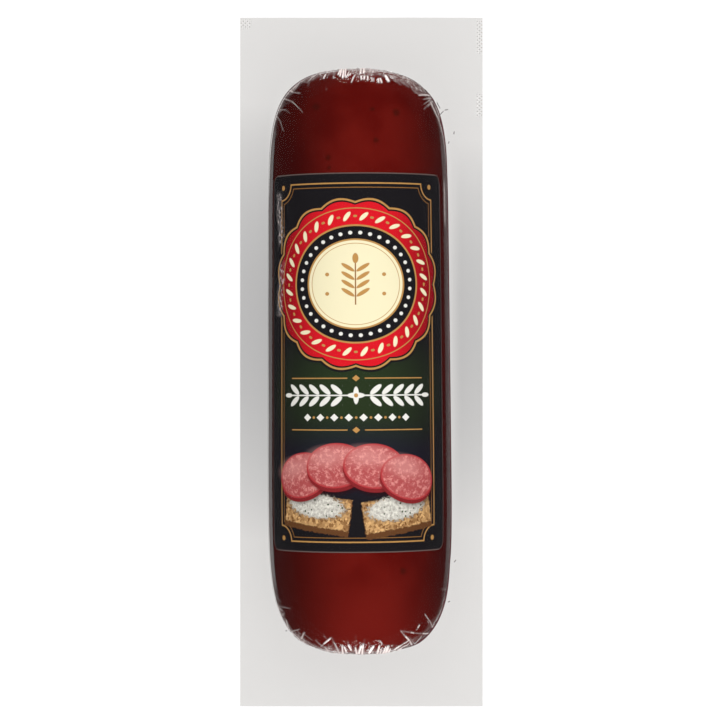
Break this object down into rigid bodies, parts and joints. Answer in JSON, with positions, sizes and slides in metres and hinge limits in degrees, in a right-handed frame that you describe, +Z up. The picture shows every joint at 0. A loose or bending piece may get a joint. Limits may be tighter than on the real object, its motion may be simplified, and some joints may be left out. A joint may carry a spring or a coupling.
{
  "type": "summer sausage pack",
  "caption": "Thick round-ended sausage with a wrap label on its front, sealed in a clear vacuum pouch with a flat rectangular border.",
  "frame": {"origin": "middle of the pouch's footprint, on the surface that the pack lies on", "axes": "+X across the pack, +Y along the sausage towards the label's top, +Z up, out of the label"},
  "size_m": [0.0742, 0.211, 0.0542],
  "materials": {
    "sausage": "dark red smoked casing under skin-tight clear film",
    "label": "black coated label, printed",
    "pouch": "thin clear glossy film, seen greyish white on a pale ground"
  },
  "bodies": {
    "root": {"sausage": "sausage", "label": "label", "pouch": "pouch"}
  },
  "joints": []
}
